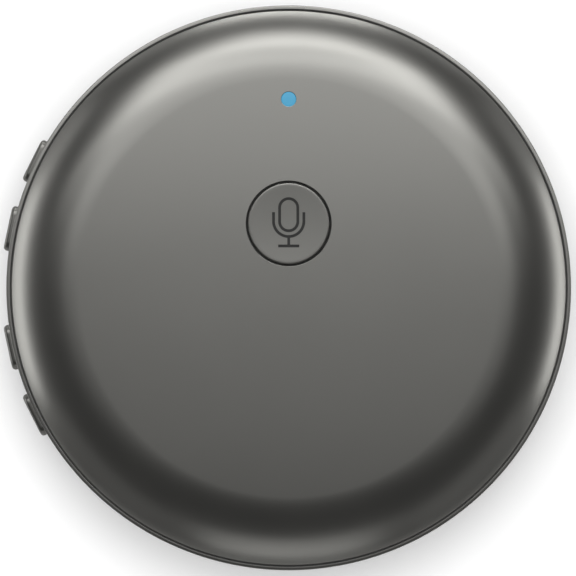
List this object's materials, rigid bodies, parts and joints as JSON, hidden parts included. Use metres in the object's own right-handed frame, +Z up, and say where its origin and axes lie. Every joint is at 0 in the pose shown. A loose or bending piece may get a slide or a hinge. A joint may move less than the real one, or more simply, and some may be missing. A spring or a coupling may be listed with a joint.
{
  "type": "handheld translator",
  "caption": "Round puck-shaped handheld translator with a push-to-talk button, a lamp, side keys on the rim, a charging port and a speaker grille in the back.",
  "frame": {"origin": "centre of the foot ring's underside, on the surface that the case lies on", "axes": "+Z up through the talk button, along the axis of the puck; +Y towards the lamp, away from the charging port; the side keys are on the -X rim"},
  "size_m": [0.0674, 0.067, 0.013],
  "materials": {
    "cover_paint": "satin metallic paint",
    "frame_metal": "fine satin anodised",
    "back_plastic": "fine matt texture",
    "foot_rubber": "matt",
    "screw_steel": "dark zinc plated",
    "key_metal": "satin metallic paint",
    "board_laminate": "solder mask",
    "chip_plastic": "moulded",
    "can_steel": "tinned sheet",
    "port_steel": "drawn sheet",
    "antenna_ceramic": "fired, with plated ends",
    "battery_foil": "laminated foil pouch",
    "foam_rubber": "soft foam",
    "wire_insulation": "soft insulation",
    "connector_plastic": "moulded nylon",
    "cone_film": "thin film",
    "magnet_metal": "nickel plated",
    "mesh_fabric": "fine woven mesh",
    "lamp_lens": "clear, lit blue",
    "led_resin": "clear resin"
  },
  "bodies": {
    "case": {"antenna": "antenna_ceramic", "back_cover": "back_plastic", "battery_cell": "battery_foil", "battery_leads": "wire_insulation", "battery_pad": "foam_rubber", "battery_plug": "connector_plastic", "battery_socket": "connector_plastic", "board_chips": "chip_plastic", "case_screws": "screw_steel", "foot_ring": "foot_rubber", "lamp_light_pipe": "lamp_lens", "language_key_switch_body": "chip_plastic", "light_shield": "foam_rubber", "main_board": "board_laminate", "microphone_boot_lower": "foam_rubber", "microphone_boot_upper": "foam_rubber", "microphone_lower": "can_steel", "microphone_upper": "can_steel", "mid_frame": "frame_metal", "power_key_switch_body": "chip_plastic", "processor_can": "can_steel", "radio_module": "can_steel", "speaker_cone": "cone_film", "speaker_frame": "can_steel", "speaker_gasket": "foam_rubber", "speaker_leads": "wire_insulation", "speaker_magnet": "magnet_metal", "speaker_mesh": "mesh_fabric", "status_led": "led_resin", "talk_switch_body": "chip_plastic", "top_cover": "cover_paint", "usb_port_shell": "port_steel", "usb_port_tongue": "chip_plastic", "volume_down_key_switch_body": "chip_plastic", "volume_up_key_switch_body": "chip_plastic"},
    "talk_button": {"talk_button": "cover_paint", "talk_switch_plunger": "connector_plastic"},
    "power_key": {"power_key": "key_metal", "power_key_switch_plunger": "connector_plastic"},
    "volume_up_key": {"volume_up_key": "key_metal", "volume_up_key_switch_plunger": "connector_plastic"},
    "volume_down_key": {"volume_down_key": "key_metal", "volume_down_key_switch_plunger": "connector_plastic"},
    "language_key": {"language_key": "key_metal", "language_key_switch_plunger": "connector_plastic"}
  },
  "joints": [
    {"name": "talk_press", "type": "slide", "parent": "case", "child": "talk_button", "axis": [0, 0, -1], "range_m": [0, 0.0004], "stiffness_N_per_m": 3000},
    {"name": "power_key_press", "type": "slide", "parent": "case", "child": "power_key", "axis": [0.8942, -0.4478, 0], "range_m": [0, 0.00025], "stiffness_N_per_m": 4000},
    {"name": "volume_up_key_press", "type": "slide", "parent": "case", "child": "volume_up_key", "axis": [0.9778, -0.2096, 0], "range_m": [0, 0.00025], "stiffness_N_per_m": 4000},
    {"name": "volume_down_key_press", "type": "slide", "parent": "case", "child": "volume_down_key", "axis": [0.9778, 0.2096, 0], "range_m": [0, 0.00025], "stiffness_N_per_m": 4000},
    {"name": "language_key_press", "type": "slide", "parent": "case", "child": "language_key", "axis": [0.8942, 0.4478, 0], "range_m": [0, 0.00025], "stiffness_N_per_m": 4000}
  ]
}
